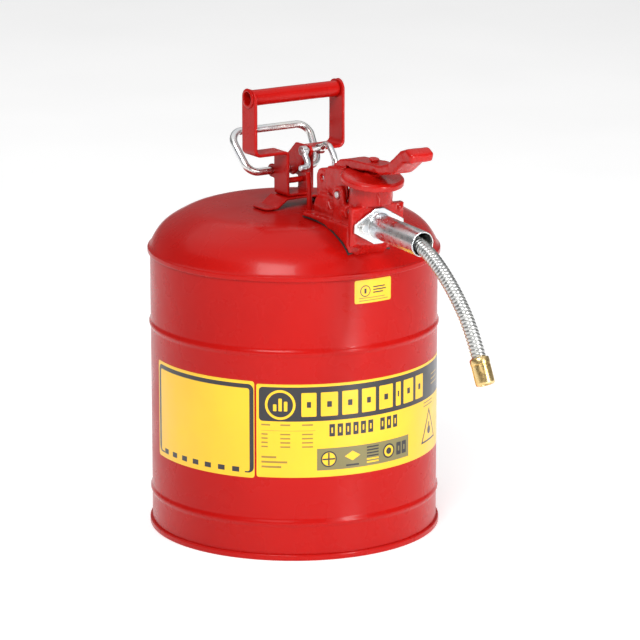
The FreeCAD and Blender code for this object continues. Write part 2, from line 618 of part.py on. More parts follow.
def manifold():
    """Casting with the filling neck, the spout's chamber, the lever's ears and the valve housing."""
    rear, half_width, floor = 56.0, 26.0, 296.0
    pivot = Vector(0, -size("pivot_front"), size("pivot_level"))
    shaft = Vector(0, -size("shaft_front"), size("shaft_level"))
    chamber_length = 88.0
    neck = tilted_cylinder("neck", "Dims.neck_radius", "Dims.neck_length", size("neck_length"))
    trunk = cylinder("trunk", "Dims.body_radius", "61.5", Vector(0, -size("body_front"), floor))
    chamber = spout_cylinder("chamber", "Dims.spout_boss", str(chamber_length), -chamber_length)
    skirt = box("skirt", str(2 * half_width), str(size("seam_radius") - 12.0 - rear), "42",
                Vector(-half_width, 12.0 - size("seam_radius"), floor))
    housing = box("valve_housing", "20", "20", str(shaft.z - floor), Vector(-10, shaft.y - 10, floor))
    housing_top = cylinder("housing_top", "10", "20", Vector(-10, shaft.y, shaft.z), X_AXIS)
    pieces = [neck, trunk, chamber, skirt, housing, housing_top]
    ear_inside, ear_gauge, ear_radius = size("block_half") + 0.8, 4.4, 9.0
    for side in (-1, 1):
        start = ear_inside if side > 0 else -ear_inside - ear_gauge
        pieces.append(cylinder("ear_round_%d" % side, str(ear_radius), str(ear_gauge),
                               Vector(start, pivot.y, pivot.z), X_AXIS))
        pieces.append(box("ear_web_%d" % side, str(ear_gauge), str(2 * ear_radius), str(pivot.z - floor),
                          Vector(start, pivot.y - ear_radius, floor)))
        pieces.append(cylinder("pad_boss_%d" % side, "6.5", "8",
                               Vector(side * size("pad_side"), 6.0 - size("pad_front"), size("pad_level")),
                               -Y_AXIS))
    face_plate = box("face_plate", "62", "41", "7", Vector())
    face_plate.Placement = spout_frame().multiply(Placement(Vector(-31, -20.5, -7), Rotation()))
    pieces.append(face_plate)
    mouth = cylinder("mouth", "14.5", "20", Vector(0, -134.0, size("throat_level") - 3.0))
    filling_space = cut("filling_space",
                        fuse("throat_and_mouth", throat("throat", "Dims.throat_radius"), mouth),
                        spout_cylinder("cross_tube", "13.4", "90", -80.0))
    pocket = 6.4
    bores = [lever_room(ear_inside), filling_space,
             tilted_cylinder("neck_hollow", "Dims.neck_bore", "Dims.neck_depth + 4", size("neck_depth")),
             cylinder("vent_socket", "Dims.vent_radius", "40", vent_foot(294.5)),
             cylinder("pouring_bore", "Dims.pour_port", "48", Vector(0, -size("port_front"), floor - 2)),
             spout_cylinder("valve_chamber", "11", "46", -72.0),
             spout_cylinder("spout_hollow", "Dims.spout_bore", "40", -34.0),
             cylinder("pivot_hole", "Dims.pivot_radius", "60", Vector(-30, pivot.y, pivot.z), X_AXIS),
             cylinder("spring_pocket", str(pocket), str(2 * pocket), Vector(-pocket, pivot.y, pivot.z),
                      X_AXIS),
             box("spring_way", str(2 * pocket), str(2 * pocket), "30",
                 Vector(-pocket, pivot.y - pocket, pivot.z)),
             cylinder("shaft_hole", "3.05", "60", Vector(-30, shaft.y, shaft.z), X_AXIS),
             box("finger_slot", "9", "15.3", "24", Vector(-4.5, shaft.y - 8.8, 354.0)),
             box("stem_slot", "9", "21.5", "24", Vector(-4.5, shaft.y - 15.0, 334.0)),
             dome_fill("dome_below_manifold", 1.3)]
    trimmed = box("ahead_of_face", "200", "200", "200", Vector())
    trimmed.Placement = spout_frame().multiply(Placement(Vector(-100, -178, 0), Rotation()))
    above = box("above_undercut", "200", "200", "200", Vector(-100, -300, size("spout_level") + 20.0))
    bores.append(cut("face_trim", trimmed, above))
    for side in (-1, 1):
        bores.append(spout_cylinder("tapped_hole_%d" % side, "Dims.bolt_radius - 0.02", "12", -9.0,
                                    (side * size("bolt_offset"), 0.0)))
        bores.append(cylinder("pad_hole_%d" % side, "2.2", "10",
                              Vector(side * size("pad_side"), 4.5 - size("pad_front"), size("pad_level")),
                              -Y_AXIS))
        bores.append(cylinder("screw_seat_%d" % side, "4.0", "3.5",
                              Vector(side * size("pad_side"), -2.0 - size("pad_front"), size("pad_level")),
                              -Y_AXIS))
    return carve("manifold", fuse("casting_solid", *pieces), *bores)


def manifold_gasket():
    """Seal between the casting and the dome, following the dome."""
    slab = box("gasket_slab", "50", "82", "50", Vector(-25, -136, 296))
    ring = cut("gasket_above_dome", slab, dome_fill("dome_below_gasket", 0.2))
    holes = fuse("gasket_holes", throat("gasket_neck", "Dims.throat_radius + 0.6"),
                 cylinder("gasket_port", "Dims.pour_port", "90", Vector(0, -size("port_front"), 280)),
                 cylinder("gasket_vent", "Dims.vent_radius + 0.3", "90", vent_foot(280)))
    gasket = cut("manifold_gasket", common("gasket_layer", ring, dome_fill("gasket_top", 1.25)), holes)
    gasket.Label = "manifold_gasket"
    return gasket


def flame_arrester():
    """Perforated cup that hangs in the filling neck, above the cross tube."""
    length, below, gauge = 17.0, 19.3, 1.0
    axis, rows, around, pitch = neck_axis(), 2, 8, 6.5
    outer = tilted_cylinder("sleeve_outer", "Dims.neck_bore - 0.1", str(length), below)
    cuts = [tilted_cylinder("sleeve_inner", "Dims.neck_bore - 0.1 - %g" % gauge, str(length), below - gauge)]
    for row in range(rows):
        for turn in range(around // 2):
            side = Rotation(axis, 360.0 / around * (turn + 0.5 * row)).multVec(X_AXIS)
            start = rim_centre() - axis * (below - 6.0 - pitch * row) - side * 30
            cuts.append(cylinder("sleeve_hole_%d_%d" % (row, turn), "1.8", "60", start, side))
    for turn in range(around):
        spot = Rotation(axis, 360.0 / around * turn).multVec(X_AXIS) * 12.0
        cuts.append(cylinder("floor_hole_%d" % turn, "2.6", "4", rim_centre() - axis * (below + 1) + spot,
                             axis))
    return carve("flame_arrester", outer, *cuts)


def vent_tube():
    """Air tube that hangs into the can from its socket in the casting."""
    low, high = 210.0, 334.0
    tube = cut("vent_tube", cylinder("vent_outer", "Dims.vent_radius - 0.02", str(high - low),
                                     vent_foot(low)),
               cylinder("vent_inner", "Dims.vent_radius - 1", str(high - low + 2), vent_foot(low - 1)))
    tube.Label = "vent_tube"
    return tube


def on_lid(item):
    """Place a lid piece, drawn upwards from the rim's centre, on the tilted neck."""
    item.Placement = Placement(rim_centre(), Rotation(Z_AXIS, neck_axis()))
    return item


def lid_cap():
    body = new_body("lid_cap")
    skirt, crown = 2.2, 1.2
    corners = [(dim(0), dim(4.0)), (dim("neck_radius", 3.6), dim(4.0)), (dim("neck_radius", 3.6), dim(0)),
               (dim("lid_radius"), dim(0)), (dim("lid_radius"), dim("lid_depth", -skirt)),
               (dim("lid_radius", -2.4), dim("lid_depth")), (dim(9.0), dim("lid_depth", crown)),
               (dim(8.0), dim("lid_depth", crown, 1.8)),
               (dim("stud_radius", 0.05), dim("lid_depth", crown, 1.8)),
               (dim("stud_radius", 0.05), dim("stud_foot")), (dim(0), dim("stud_foot"))]
    revolve(body, polygon_sketch(body, "XZ_Plane", "lid_outline", corners), "lid")
    return on_lid(body)


def lid_gasket():
    body = new_body("lid_gasket")
    corners = [(dim("neck_bore", -2.0), dim(0.6)), (dim("neck_radius", 3.3), dim(0.6)),
               (dim("neck_radius", 3.3), dim(4.0)), (dim("neck_bore", -2.0), dim(4.0))]
    revolve(body, polygon_sketch(body, "XZ_Plane", "gasket_outline", corners), "lid_seal")
    return on_lid(body)


def lid_lever():
    """Pressed lever: a saddle block on the hinge pin, an arm over the lid and a thumb tongue."""
    body = new_body("lever_blank")
    pivot_f, pivot_z = size("pivot_front"), size("pivot_level")
    block = [(-120.0, 391.0), (-86.5, 388.2), (-82.2, 383.2), (-83.0, 364.5),
             (-(pivot_f - 8.0), pivot_z - 8.0),
             (-(pivot_f + 4.0), pivot_z - 8.0), (-(pivot_f + 7.6), pivot_z - 4.0)]
    arm_top = [(-101.0, 397.0), (-112.0, 399.4), (-146.0, 401.0), (-172.0, 401.6), (-187.0, 405.6),
               (-208.0, 421.5),
               (-219.0, 424.8), (-226.0, 421.0)]
    arm_low = [(-224.0, 415.6), (-212.0, 414.0), (-192.0, 399.6), (-174.0, 395.4), (-146.0, 393.6),
               (-120.0, 391.2)]

    def outline(name, places):
        return polygon_sketch(body, "YZ_Plane", name,
                              [((y, "%g" % y), (z, "%g" % z)) for y, z in places])

    pad(body, outline("block_outline", block), "block", "2 * Dims.block_half")
    pad(body, outline("arm_outline", [(-88.0, 387.0), (-92.0, 391.4)] + arm_top + arm_low), "arm", "23")
    doc.recompute()
    hollow = box("block_hollow", "2 * (Dims.block_half - Dims.block_sheet)", "60", "40",
                 Vector(-(size("block_half") - size("block_sheet")), -140.0, 345.4))
    pin_hole = cylinder("lever_pin_hole", "Dims.pivot_radius + 0.05", "60", Vector(-30, -pivot_f, pivot_z),
                        X_AXIS)
    stud = rim_centre() + neck_axis() * (size("lid_depth") + 1.0)
    stud_hole = cylinder("stud_hole", "Dims.stud_radius", "30", stud, neck_axis())
    lid_room = tilted_cylinder("lid_room", "Dims.lid_radius + 0.8", "Dims.lid_depth + 1.1", 0.0)
    boss_room = tilted_cylinder("boss_room", "9.4", "Dims.lid_depth + 3.7", 0.0)
    lever = cut("lid_lever", body, fuse("lever_cuts", hollow, pin_hole, stud_hole, lid_room, boss_room))
    lever.Label = "lid_lever"
    return lever


def lid_stud():
    """Rivet that holds the lid to the lever: fixed in the lever, loose in the lid's boss."""
    base = rim_centre() + neck_axis() * size("stud_foot")
    shank = cylinder("stud_shank", "Dims.stud_radius", "Dims.stud_length", base, neck_axis())
    head = cylinder("stud_head", "5.0", "2.4", base + neck_axis() * size("stud_length"), neck_axis())
    stud = fuse("lid_stud", shank, head)
    stud.Label = "lid_stud"
    return stud


def lever_pin():
    reach = size("block_half") + 7.0
    pin = cylinder("lever_pin", "Dims.pivot_radius", "%g" % (2 * reach),
                   Vector(-reach, -size("pivot_front"), size("pivot_level")), X_AXIS)
    pin.Label = "lever_pin"
    return pin


def coil(radius, pitch, turns, wire, place, direction):
    """A closed helical spring, starting at a place and running along a direction."""
    helix = Part.makeHelix(pitch, pitch * turns, radius)
    section = Part.Wire(Part.makeCircle(wire, Vector(radius, 0, 0), Vector(0, 1, 0)))
    spring = Part.Wire(helix.Edges).makePipeShell([section], True, True)
    spring.Placement = Placement(place, Rotation(Z_AXIS, direction))
    return spring


def lid_spring():
    """Closing spring round the hinge pin, between the lever's cheeks."""
    return feature("lid_spring", coil(5.2, 2.6, 4.0, 0.9,
                                      Vector(-5.2, -size("pivot_front"), size("pivot_level")), X_AXIS))


def valve_parts():
    """Seat, disc, stem and spring of the pouring valve, on the spout's axis: it opens towards the spout."""
    seat_front, seat_gauge, disc_gauge, play = -46.0, 3.0, 3.4, 0.3
    seat = cut("valve_seat", spout_cylinder("seat_outer", "10.95", str(seat_gauge), seat_front - seat_gauge),
               spout_cylinder("seat_bore", "8", "5", seat_front - seat_gauge - 1.0))
    seat.Label = "valve_seat"
    disc = spout_cylinder("valve_disc", "9.6", str(disc_gauge), seat_front + play)
    disc.Label = "valve_disc"
    stem_end = size("shaft_front") + size("finger_tip") + play - size("spout_face")
    stem = spout_cylinder("valve_stem", "2.5", str(seat_front + play - stem_end), stem_end)
    stem.Label = "valve_stem"
    wire, turns = 0.8, 5.5
    start, end = seat_front + play + disc_gauge + wire + 0.1, -14.0 - wire - 0.1
    spring = coil(6.4, (end - start) / turns, turns, wire, Vector(), Z_AXIS)
    spring.Placement = spout_frame().multiply(Placement(Vector(0, 0, start), Rotation()))
    return [seat, disc, stem, feature("valve_spring", spring)]


# ================================================================ spout and hose
def hose_shield():
    """Zinc-plated tube with a lozenge flange."""
    corners = [(-29.0, -4.2), (-5.0, -18.2), (5.0, -18.2), (29.0, -4.2), (29.0, 4.2), (5.0, 18.2),
               (-5.0, 18.2), (-29.0, 4.2)]
    body = new_body("flange_blank")
    sketch = polygon_sketch(body, "XY_Plane", "flange_outline",
                            [((x, "%g" % x), (y, "%g" % y)) for x, y in corners])
    pad(body, sketch, "flange_plate", "Dims.flange_sheet", midplane=False)
    body.Placement = spout_frame().multiply(Placement(Vector(0, 0, 0.6), Rotation()))
    tube = spout_cylinder("shield_outer", "Dims.shield_radius", "Dims.shield_length", 0.6)
    cuts = [spout_cylinder("shield_hollow", "Dims.shield_radius - Dims.shield_wall", "Dims.shield_length + 4",
                           0.6 - 2.0)]
    for side in (-1, 1):
        cuts.append(spout_cylinder("flange_hole_%d" % side, "Dims.bolt_radius + 0.3", "8", -2.0,
                                   (side * size("bolt_offset"), 0.0)))
    shield = cut("hose_shield", fuse("shield_solid", body, tube), fuse("shield_cuts", *cuts))
    shield.Label = "hose_shield"
    return shield


def spout_gasket():
    outer = spout_cylinder("spout_seal_outer", "17", "0.6", 0.0)
    gasket = cut("spout_gasket", outer,
                 spout_cylinder("spout_seal_bore", "Dims.shield_radius - Dims.shield_wall",
                                                       "2", -0.7))
    gasket.Label = "spout_gasket"
    return gasket


def screw_group(label, places, radius, length, head_radius, head, direction, sides=6):
    """Identical screws: each a shank with a hexagon head; places are the undersides of the heads."""
    screws = []
    for place in places:
        turn = Placement(place, Rotation(Z_AXIS, direction))
        corners = [turn.multVec(Vector(head_radius * math.cos(math.radians(60 * step)),
                                       head_radius * math.sin(math.radians(60 * step)), 0))
                   for step in range(sides)]
        hexagon = Part.Face(Part.makePolygon(corners + corners[:1]))
        heads = hexagon.extrude(direction * head)
        shank = Part.makeCylinder(radius, length, place - direction * length, direction)
        screws.append(heads.fuse(shank))
    return feature(label, Part.makeCompound(screws))


def spout_screws():
    frame = spout_frame()
    top = 0.6 + size("flange_sheet")
    direction = frame.Rotation.multVec(Z_AXIS)
    places = [frame.multVec(Vector(side * size("bolt_offset"), 0, top)) for side in (-1, 1)]
    return screw_group("spout_screws", places, size("bolt_radius") - 0.02, 10.0, 4.6, 4.2, direction)


def manifold_screws():
    places = [Vector(side * size("pad_side"), -2.0 - size("pad_front"), size("pad_level"))
              for side in (-1, 1)]
    return screw_group("manifold_screws", places, 2.2, 6.0, 3.8, 2.4, Vector(0, -1, 0))


def hose_fitting():
    """Threaded end that holds the hose in the spout's bore."""
    outer = spout_cylinder("fitting_outer", "Dims.spout_bore - 0.05", "26", -14.0)
    fitting = cut("hose_fitting", outer, spout_cylinder("fitting_bore", "5.5", "30", -16.0))
    fitting.Label = "hose_fitting"
    return fitting


def hose_route():
    """The hose's route in (forward, level): along the shield, over its lip and down."""
    inside = [spout_frame().multVec(Vector(0, 0, out)) for out in (12.0, 43.0)]
    return [(-place.y, place.z) for place in inside] + [(228.0, 332.4), (262.5, 313.4), (295.5, 284.0),
                                                        (314.5, 257.5), (322.5, 241.0)]


def hose():
    points = in_plane(0.0, *hose_route())
    bends = [0.0] * len(points)
    for index in range(1, len(points) - 1):
        run_in, run_out = points[index] - points[index - 1], points[index + 1] - points[index]
        bends[index] = 0.45 * min(run_in.Length, run_out.Length) / math.tan(run_in.getAngle(run_out) / 2)
    path = rounded_path(points, bends)
    tube = round_bar(path, size("hose_radius"))
    section = math.pi * size("hose_radius") ** 2
    print("hose route", [(round(forward, 2), round(level, 2)) for forward, level in hose_route()])
    print("hose length", round(path.Length, 2), "bends", [round(bend, 1) for bend in bends[1:-1]])
    print("hose volume", round(tube.Volume, 1), "against", round(section * path.Length, 1))
    return feature("hose", tube)


def hose_nozzle():
    """Brass end of the hose."""
    points = in_plane(0.0, *hose_route()[-2:])
    direction = (points[1] - points[0]).normalize()
    turn = Rotation(Z_AXIS, direction)
    outer = cylinder("nozzle_outer", "Dims.nozzle_radius", "Dims.nozzle_length", points[1], direction)
    bore = cylinder("nozzle_bore", "6", "Dims.nozzle_length + 2", points[1] + direction * 3.0, direction)
    nozzle = cut("hose_nozzle", outer, bore)
    nozzle.Label = "hose_nozzle"
    return nozzle


# ================================================================ build and write
subparts = [
    can_wall(), bottom_pan(), top_dome(),
    label_patch("name_label", 2.0, 100.0, 86.0, 96.0),
    label_patch("write_on_label", -75.2, 53.6, 84.5, 99.5),
    label_patch("approval_label", -0.6, 17.0, 260.0, 24.0),
    handle_strap(), grip_tube(), handle_saddle(), cross_pin(), stop_hook(),
    trigger_loop(), crank_plate(), crank_pin(), stop_link(), pull_rod(), valve_arm(), valve_shaft(),
    valve_finger(),
    manifold(), manifold_gasket(), manifold_screws(), flame_arrester(), vent_tube(),
    lid_cap(), lid_gasket(), lid_lever(), lid_stud(), lever_pin(), lid_spring(),
    *valve_parts(),
    hose_shield(), spout_gasket(), spout_screws(), hose_fitting(), hose(), hose_nozzle(),
]
doc.recompute()

for item in doc.Objects:
    if "Invalid" in item.State or "Error" in item.State:
        raise RuntimeError("%s failed: %s" % (item.Label, item.State))
for part in subparts:
    if part.Shape.isNull() or not part.Shape.isValid() or part.Shape.Volume <= 0:
        raise RuntimeError("%s has no valid shape" % part.Label)
    part.Shape.exportStep("parts/%s.step" % part.Label)
    print("%-18s solids %d volume %.0f" % (part.Label, len(part.Shape.Solids), part.Shape.Volume))
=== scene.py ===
"""Looks of the safety can: paint, plating, printed labels and the metal hose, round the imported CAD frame.

Metres throughout, +Z up, origin at the centre of the base, the spout points to -Y.
"""
import json
import math

import bmesh
import bpy
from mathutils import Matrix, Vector, noise


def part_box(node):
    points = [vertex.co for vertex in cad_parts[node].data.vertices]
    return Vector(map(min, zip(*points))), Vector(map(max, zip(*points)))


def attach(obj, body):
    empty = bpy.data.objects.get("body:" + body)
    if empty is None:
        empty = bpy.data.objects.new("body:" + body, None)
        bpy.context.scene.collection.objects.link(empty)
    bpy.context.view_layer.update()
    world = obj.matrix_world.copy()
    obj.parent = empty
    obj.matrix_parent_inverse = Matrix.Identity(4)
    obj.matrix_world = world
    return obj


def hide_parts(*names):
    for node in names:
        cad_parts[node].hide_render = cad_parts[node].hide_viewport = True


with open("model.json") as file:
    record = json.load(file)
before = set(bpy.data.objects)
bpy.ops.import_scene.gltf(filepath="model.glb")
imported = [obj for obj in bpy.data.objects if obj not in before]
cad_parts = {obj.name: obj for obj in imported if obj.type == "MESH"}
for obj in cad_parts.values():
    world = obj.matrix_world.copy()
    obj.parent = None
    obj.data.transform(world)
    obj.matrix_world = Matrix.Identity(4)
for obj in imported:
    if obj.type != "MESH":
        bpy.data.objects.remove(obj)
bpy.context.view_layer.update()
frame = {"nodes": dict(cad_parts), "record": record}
scene = bpy.context.scene
NODES = frame["nodes"]
BODY_OF = {node: body for body, nodes in frame["record"]["behaviour"]["bodies"].items() for node in nodes}
SLOT_OF = {row["node"]: row["material_slot"] for row in frame["record"]["subparts"]}
MM = 0.001
WALL_RADIUS = 146.6 * MM
SEAM_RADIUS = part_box("top_dome")[1].x
SHEET = 1.2 * MM
LATHE_STEPS = 256
SPOUT_TILT = math.radians(3.5)
SPOUT_FACE = Vector((0, -151 * MM, 338.5 * MM))

CAMERA_PLACE = (-1.98244, -3.05268, 1.11286)
CAMERA_FORWARD = (0.53460, 0.81019, -0.24042)
CAMERA_LENS, CAMERA_SENSOR = 205.98, 36.0


# ---------------------------------------------------------------- camera
def make_camera():
    data = bpy.data.cameras.new("camera")
    data.lens, data.sensor_width = CAMERA_LENS, CAMERA_SENSOR
    data.clip_start, data.clip_end = 0.1, 50.0
    camera = bpy.data.objects.new("camera", data)
    camera.location = CAMERA_PLACE
    camera.rotation_mode = "QUATERNION"
    camera.rotation_quaternion = Vector(CAMERA_FORWARD).to_track_quat("-Z", "Y")
    scene.collection.objects.link(camera)
    scene.camera = camera


make_camera()


# ---------------------------------------------------------------- node materials
class Shader:
    """A material with a Principled shader and short calls for the nodes that feed it."""

    def __init__(self, name, colour, roughness, **sockets):
        self.material = bpy.data.materials.new(name)
        self.material.use_nodes = True
        self.tree = self.material.node_tree
        self.principled = self.tree.nodes["Principled BSDF"]
        self.set("Base Color", (*colour, 1.0))
        self.set("Roughness", roughness)
        for socket, value in sockets.items():
            self.set(socket.replace("_", " "), value)
        self.place = self.tree.nodes.new("ShaderNodeTexCoord").outputs["Object"]
        self.height = None

    def set(self, socket, value):
        self.principled.inputs[socket].default_value = value

    def link(self, source, target):
        self.tree.links.new(source, target)

    def stretched(self, scale):
        mapping = self.tree.nodes.new("ShaderNodeMapping")
        mapping.inputs["Scale"].default_value = scale
        self.link(self.place, mapping.inputs["Vector"])
        return mapping.outputs["Vector"]

    def noise(self, scale, detail=3.0, roughness=0.5, stretch=None):
        node = self.tree.nodes.new("ShaderNodeTexNoise")
        node.inputs["Scale"].default_value = scale
        node.inputs["Detail"].default_value = detail
        node.inputs["Roughness"].default_value = roughness
        self.link(self.stretched(stretch) if stretch else self.place, node.inputs["Vector"])
        return node.outputs["Fac"]

    def ramp(self, source, *stops):
        """Colour stops of (position, colour); a plain number stands for a grey."""
        node = self.tree.nodes.new("ShaderNodeValToRGB")
        elements = node.color_ramp.elements
        while len(elements) < len(stops):
            elements.new(0.5)
        for element, (position, colour) in zip(elements, stops):
            element.position = position
            element.color = (*colour, 1.0) if isinstance(colour, tuple) else (colour, colour, colour, 1.0)
        self.link(source, node.inputs["Fac"])
        return node.outputs["Color"]

    def colour(self, source, *stops):
        self.link(self.ramp(source, *stops), self.principled.inputs["Base Color"])

    def gloss(self, source, low, high):
        self.link(self.ramp(source, (0.3, low), (0.7, high)), self.principled.inputs["Roughness"])

    def bump(self, source, strength, distance):
        """Adds one more layer of relief under the ones before."""
        node = self.tree.nodes.new("ShaderNodeBump")
        node.inputs["Strength"].default_value = strength
        node.inputs["Distance"].default_value = distance
        self.link(source, node.inputs["Height"])
        if self.height:
            self.link(self.height, node.inputs["Normal"])
        self.height = node.outputs["Normal"]
        self.link(self.height, self.principled.inputs["Normal"])


def red_enamel():
    shader = Shader("red_enamel", (0.42, 0.004, 0.003), 0.26, Coat_Weight=0.10, Coat_Roughness=0.10)
    shader.set("Specular IOR Level", 0.14)
    shader.colour(shader.noise(9, 4), (0.2, (0.39, 0.003, 0.002)), (0.8, (0.45, 0.005, 0.003)))
    shader.gloss(shader.noise(30, 5), 0.23, 0.34)
    shader.bump(shader.noise(420, 2), 0.06, 0.0001)
    shader.bump(shader.noise(14, 1), 0.05, 0.0008)
    return shader.material


def red_casting():
    shader = Shader("red_casting", (0.44, 0.005, 0.003), 0.24, Coat_Weight=0.22, Coat_Roughness=0.08)
    shader.set("Specular IOR Level", 0.22)
    shader.colour(shader.noise(40, 5), (0.3, (0.37, 0.004, 0.002)), (0.7, (0.49, 0.006, 0.004)))
    shader.gloss(shader.noise(90, 4), 0.18, 0.34)
    shader.bump(shader.noise(260, 4, 0.6), 0.22, 0.0005)
    shader.bump(shader.noise(70, 3), 0.35, 0.0012)
    return shader.material


def zinc_plating():
    shader = Shader("zinc_plating", (0.70, 0.72, 0.74), 0.28, Metallic=1.0)
    blue, grey, yellow = (0.58, 0.61, 0.65), (0.74, 0.75, 0.76), (0.80, 0.79, 0.74)
    shader.colour(shader.noise(35, 5), (0.30, blue), (0.5, grey), (0.72, yellow))
    shader.gloss(shader.noise(160, 6, 0.6), 0.20, 0.40)
    shader.bump(shader.noise(600, 4, 0.6, stretch=(1.0, 0.15, 1.0)), 0.04, 0.0001)
    return shader.material


def hose_metal():
    shader = Shader("hose_metal", (0.50, 0.51, 0.50), 0.32, Metallic=1.0)
    shader.colour(shader.noise(60, 3), (0.3, (0.44, 0.45, 0.45)), (0.7, (0.58, 0.58, 0.56)))
    shader.gloss(shader.noise(300, 4), 0.24, 0.46)
    shader.bump(shader.noise(500, 2), 0.05, 0.0001)
    return shader.material


def brass():
    shader = Shader("turned_brass", (0.78, 0.56, 0.24), 0.26, Metallic=1.0)
    shader.colour(shader.noise(80, 5), (0.3, (0.66, 0.45, 0.17)), (0.7, (0.86, 0.65, 0.31)))
    shader.gloss(shader.noise(240, 4), 0.20, 0.38)
    shader.bump(shader.noise(900, 3, stretch=(1.0, 1.0, 0.2)), 0.12, 0.0002)
    return shader.material


def rubber():
    shader = Shader("seal_rubber", (0.022, 0.022, 0.024), 0.7)
    shader.colour(shader.noise(60, 4), (0.3, (0.016, 0.016, 0.018)), (0.7, (0.035, 0.034, 0.034)))
    shader.bump(shader.noise(500, 4), 0.3, 0.0003)
    return shader.material


def label_film(name, colour, shade=0.9):
    """Printed film: one ink, with the faint unevenness of screen printing."""
    shader = Shader(name, colour, 0.34, Coat_Weight=0.35, Coat_Roughness=0.12)
    darker = tuple(channel * shade for channel in colour)
    shader.colour(shader.noise(22, 5), (0.35, darker), (0.65, colour))
    shader.gloss(shader.noise(45, 4), 0.28, 0.42)
    shader.bump(shader.noise(700, 3), 0.10, 0.0001)
    return shader.material


RED, CASTING, ZINC, HOSE, BRASS, RUBBER = (
    red_enamel(), red_casting(), zinc_plating(), hose_metal(), brass(), rubber())
YELLOW = label_film("label_yellow", (0.92, 0.53, 0.004), 0.93)
BLACK = label_film("label_black", (0.010, 0.009, 0.014), 0.8)
OLIVE = label_film("label_olive", (0.20, 0.17, 0.055), 0.85)
UMBER = label_film("label_umber", (0.36, 0.22, 0.02), 0.85)
INKS = [YELLOW, BLACK, OLIVE, UMBER]
SLOT_MATERIAL = {"red_enamel": RED, "red_casting": CASTING, "zinc_steel": ZINC, "hose_metal": HOSE,
                 "brass": BRASS, "seal_rubber": RUBBER, "label_print": YELLOW}


# ---------------------------------------------------------------- helpers
def paint(mesh, material):
    mesh.materials.clear()
    mesh.materials.append(material)


def shade_smooth(mesh, crease):
    """Smooth shading, with edges that bend more than the crease angle, in degrees, kept sharp."""
    for polygon in mesh.polygons:
        polygon.use_smooth = True
    mesh.set_sharp_from_angle(angle=math.radians(crease))


def finish_piece(piece, node, material=None, crease=32.0):
    """Shade a new piece, let it stand for its CAD node and ride on that node's body."""
    shade_smooth(piece.data, crease)
    if material:
        paint(piece.data, material)
    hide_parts(node)
    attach(piece, BODY_OF[node])
    return piece


def new_piece(name, mesh):
    piece = bpy.data.objects.new(name, mesh)
    scene.collection.objects.link(piece)
    return piece


def from_bmesh(name, work):
    mesh = bpy.data.meshes.new(name)
    work.to_mesh(mesh)
    work.free()
    return new_piece(name, mesh)


def apply_modifiers(piece):
    """Make what the modifiers show the piece's own mesh."""
    evaluated = piece.evaluated_get(bpy.context.evaluated_depsgraph_get())
    mesh = bpy.data.meshes.new_from_object(evaluated)
    piece.modifiers.clear()
    piece.data = mesh


def lathe(name, profile, origin=Vector(), axis=Vector((0, 0, 1)), around=LATHE_STEPS):
    """A closed ring-shaped or solid body turned from (radius, height) points."""
    on_axis = 1e-7
    work = bmesh.new()
    turn = Vector((0, 0, 1)).rotation_difference(axis)
    rings = []
    for radius, height in profile:
        if radius < on_axis:
            rings.append([work.verts.new(origin + turn @ Vector((0, 0, height)))] * around)
            continue
        angles = (math.tau * step / around for step in range(around))
        places = (Vector((radius * math.cos(a), radius * math.sin(a), height)) for a in angles)
        rings.append([work.verts.new(origin + turn @ place) for place in places])
    closed = profile[0][0] > on_axis and profile[-1][0] > on_axis
    pairs = list(zip(rings, rings[1:])) + ([(rings[-1], rings[0])] if closed else [])
    for lower, upper in pairs:
        for step in range(around):
            ahead = (step + 1) % around
            corners = dict.fromkeys((lower[step], lower[ahead], upper[ahead], upper[step]))
            if len(corners) > 2:
                work.faces.new(corners)
    bmesh.ops.recalc_face_normals(work, faces=work.faces)
    return from_bmesh(name, work)


def arc(centre, radius, start, end, steps):
    """Points of a circular arc in (radius, height), angles in degrees."""
    angles = [math.radians(start + (end - start) * step / steps) for step in range(steps + 1)]
    return [(centre[0] + radius * math.cos(a), centre[1] + radius * math.sin(a)) for a in angles]


def push_out(mesh, amount):
    """Move every vertex along its normal by an amount that depends on its place."""
    moved = [vertex.co + vertex.normal * amount(vertex.co) for vertex in mesh.vertices]
    for vertex, place in zip(mesh.vertices, moved):
        vertex.co = place


def lumpy(piece, size, depth):
    """Move the surface in and out by a smooth noise, as thick paint on a casting lies."""
    push_out(piece.data, lambda place: depth * noise.noise(place / size))


def melted_root(mesh):
    """The casting's foot slopes back into the dome, and its edges there are drowned in paint."""
    front, brow, slope = -150 * MM, 322 * MM, 0.9
    work = bmesh.new()
    work.from_mesh(mesh)
    for vertex in work.verts:
        if vertex.co.z < brow:
            vertex.co.y = max(vertex.co.y, front + (brow - vertex.co.z) * slope)
    for level, back, rounds in ((334 * MM, -104 * MM, 24), (322 * MM, -60 * MM, 16)):
        drowned = [vertex for vertex in work.verts if vertex.co.z < level and vertex.co.y < back]
        for _ in range(rounds):
            bmesh.ops.smooth_vert(work, verts=drowned, factor=0.5,
                                  use_axis_x=True, use_axis_y=True, use_axis_z=True)
    work.to_mesh(mesh)
    work.free()


def thick_tongue(mesh):
    """The lever's thumb tongue is thicker and rounder than the sheet it is drawn with."""
    start, run, extra, coat = 150 * MM, 40 * MM, 1.9 * MM, 0.3 * MM

    def thickness(place):
        share = min(max((-place.y - start) / run, 0.0), 1.0)
        return coat + extra * share * share * (3 - 2 * share)

    push_out(mesh, thickness)


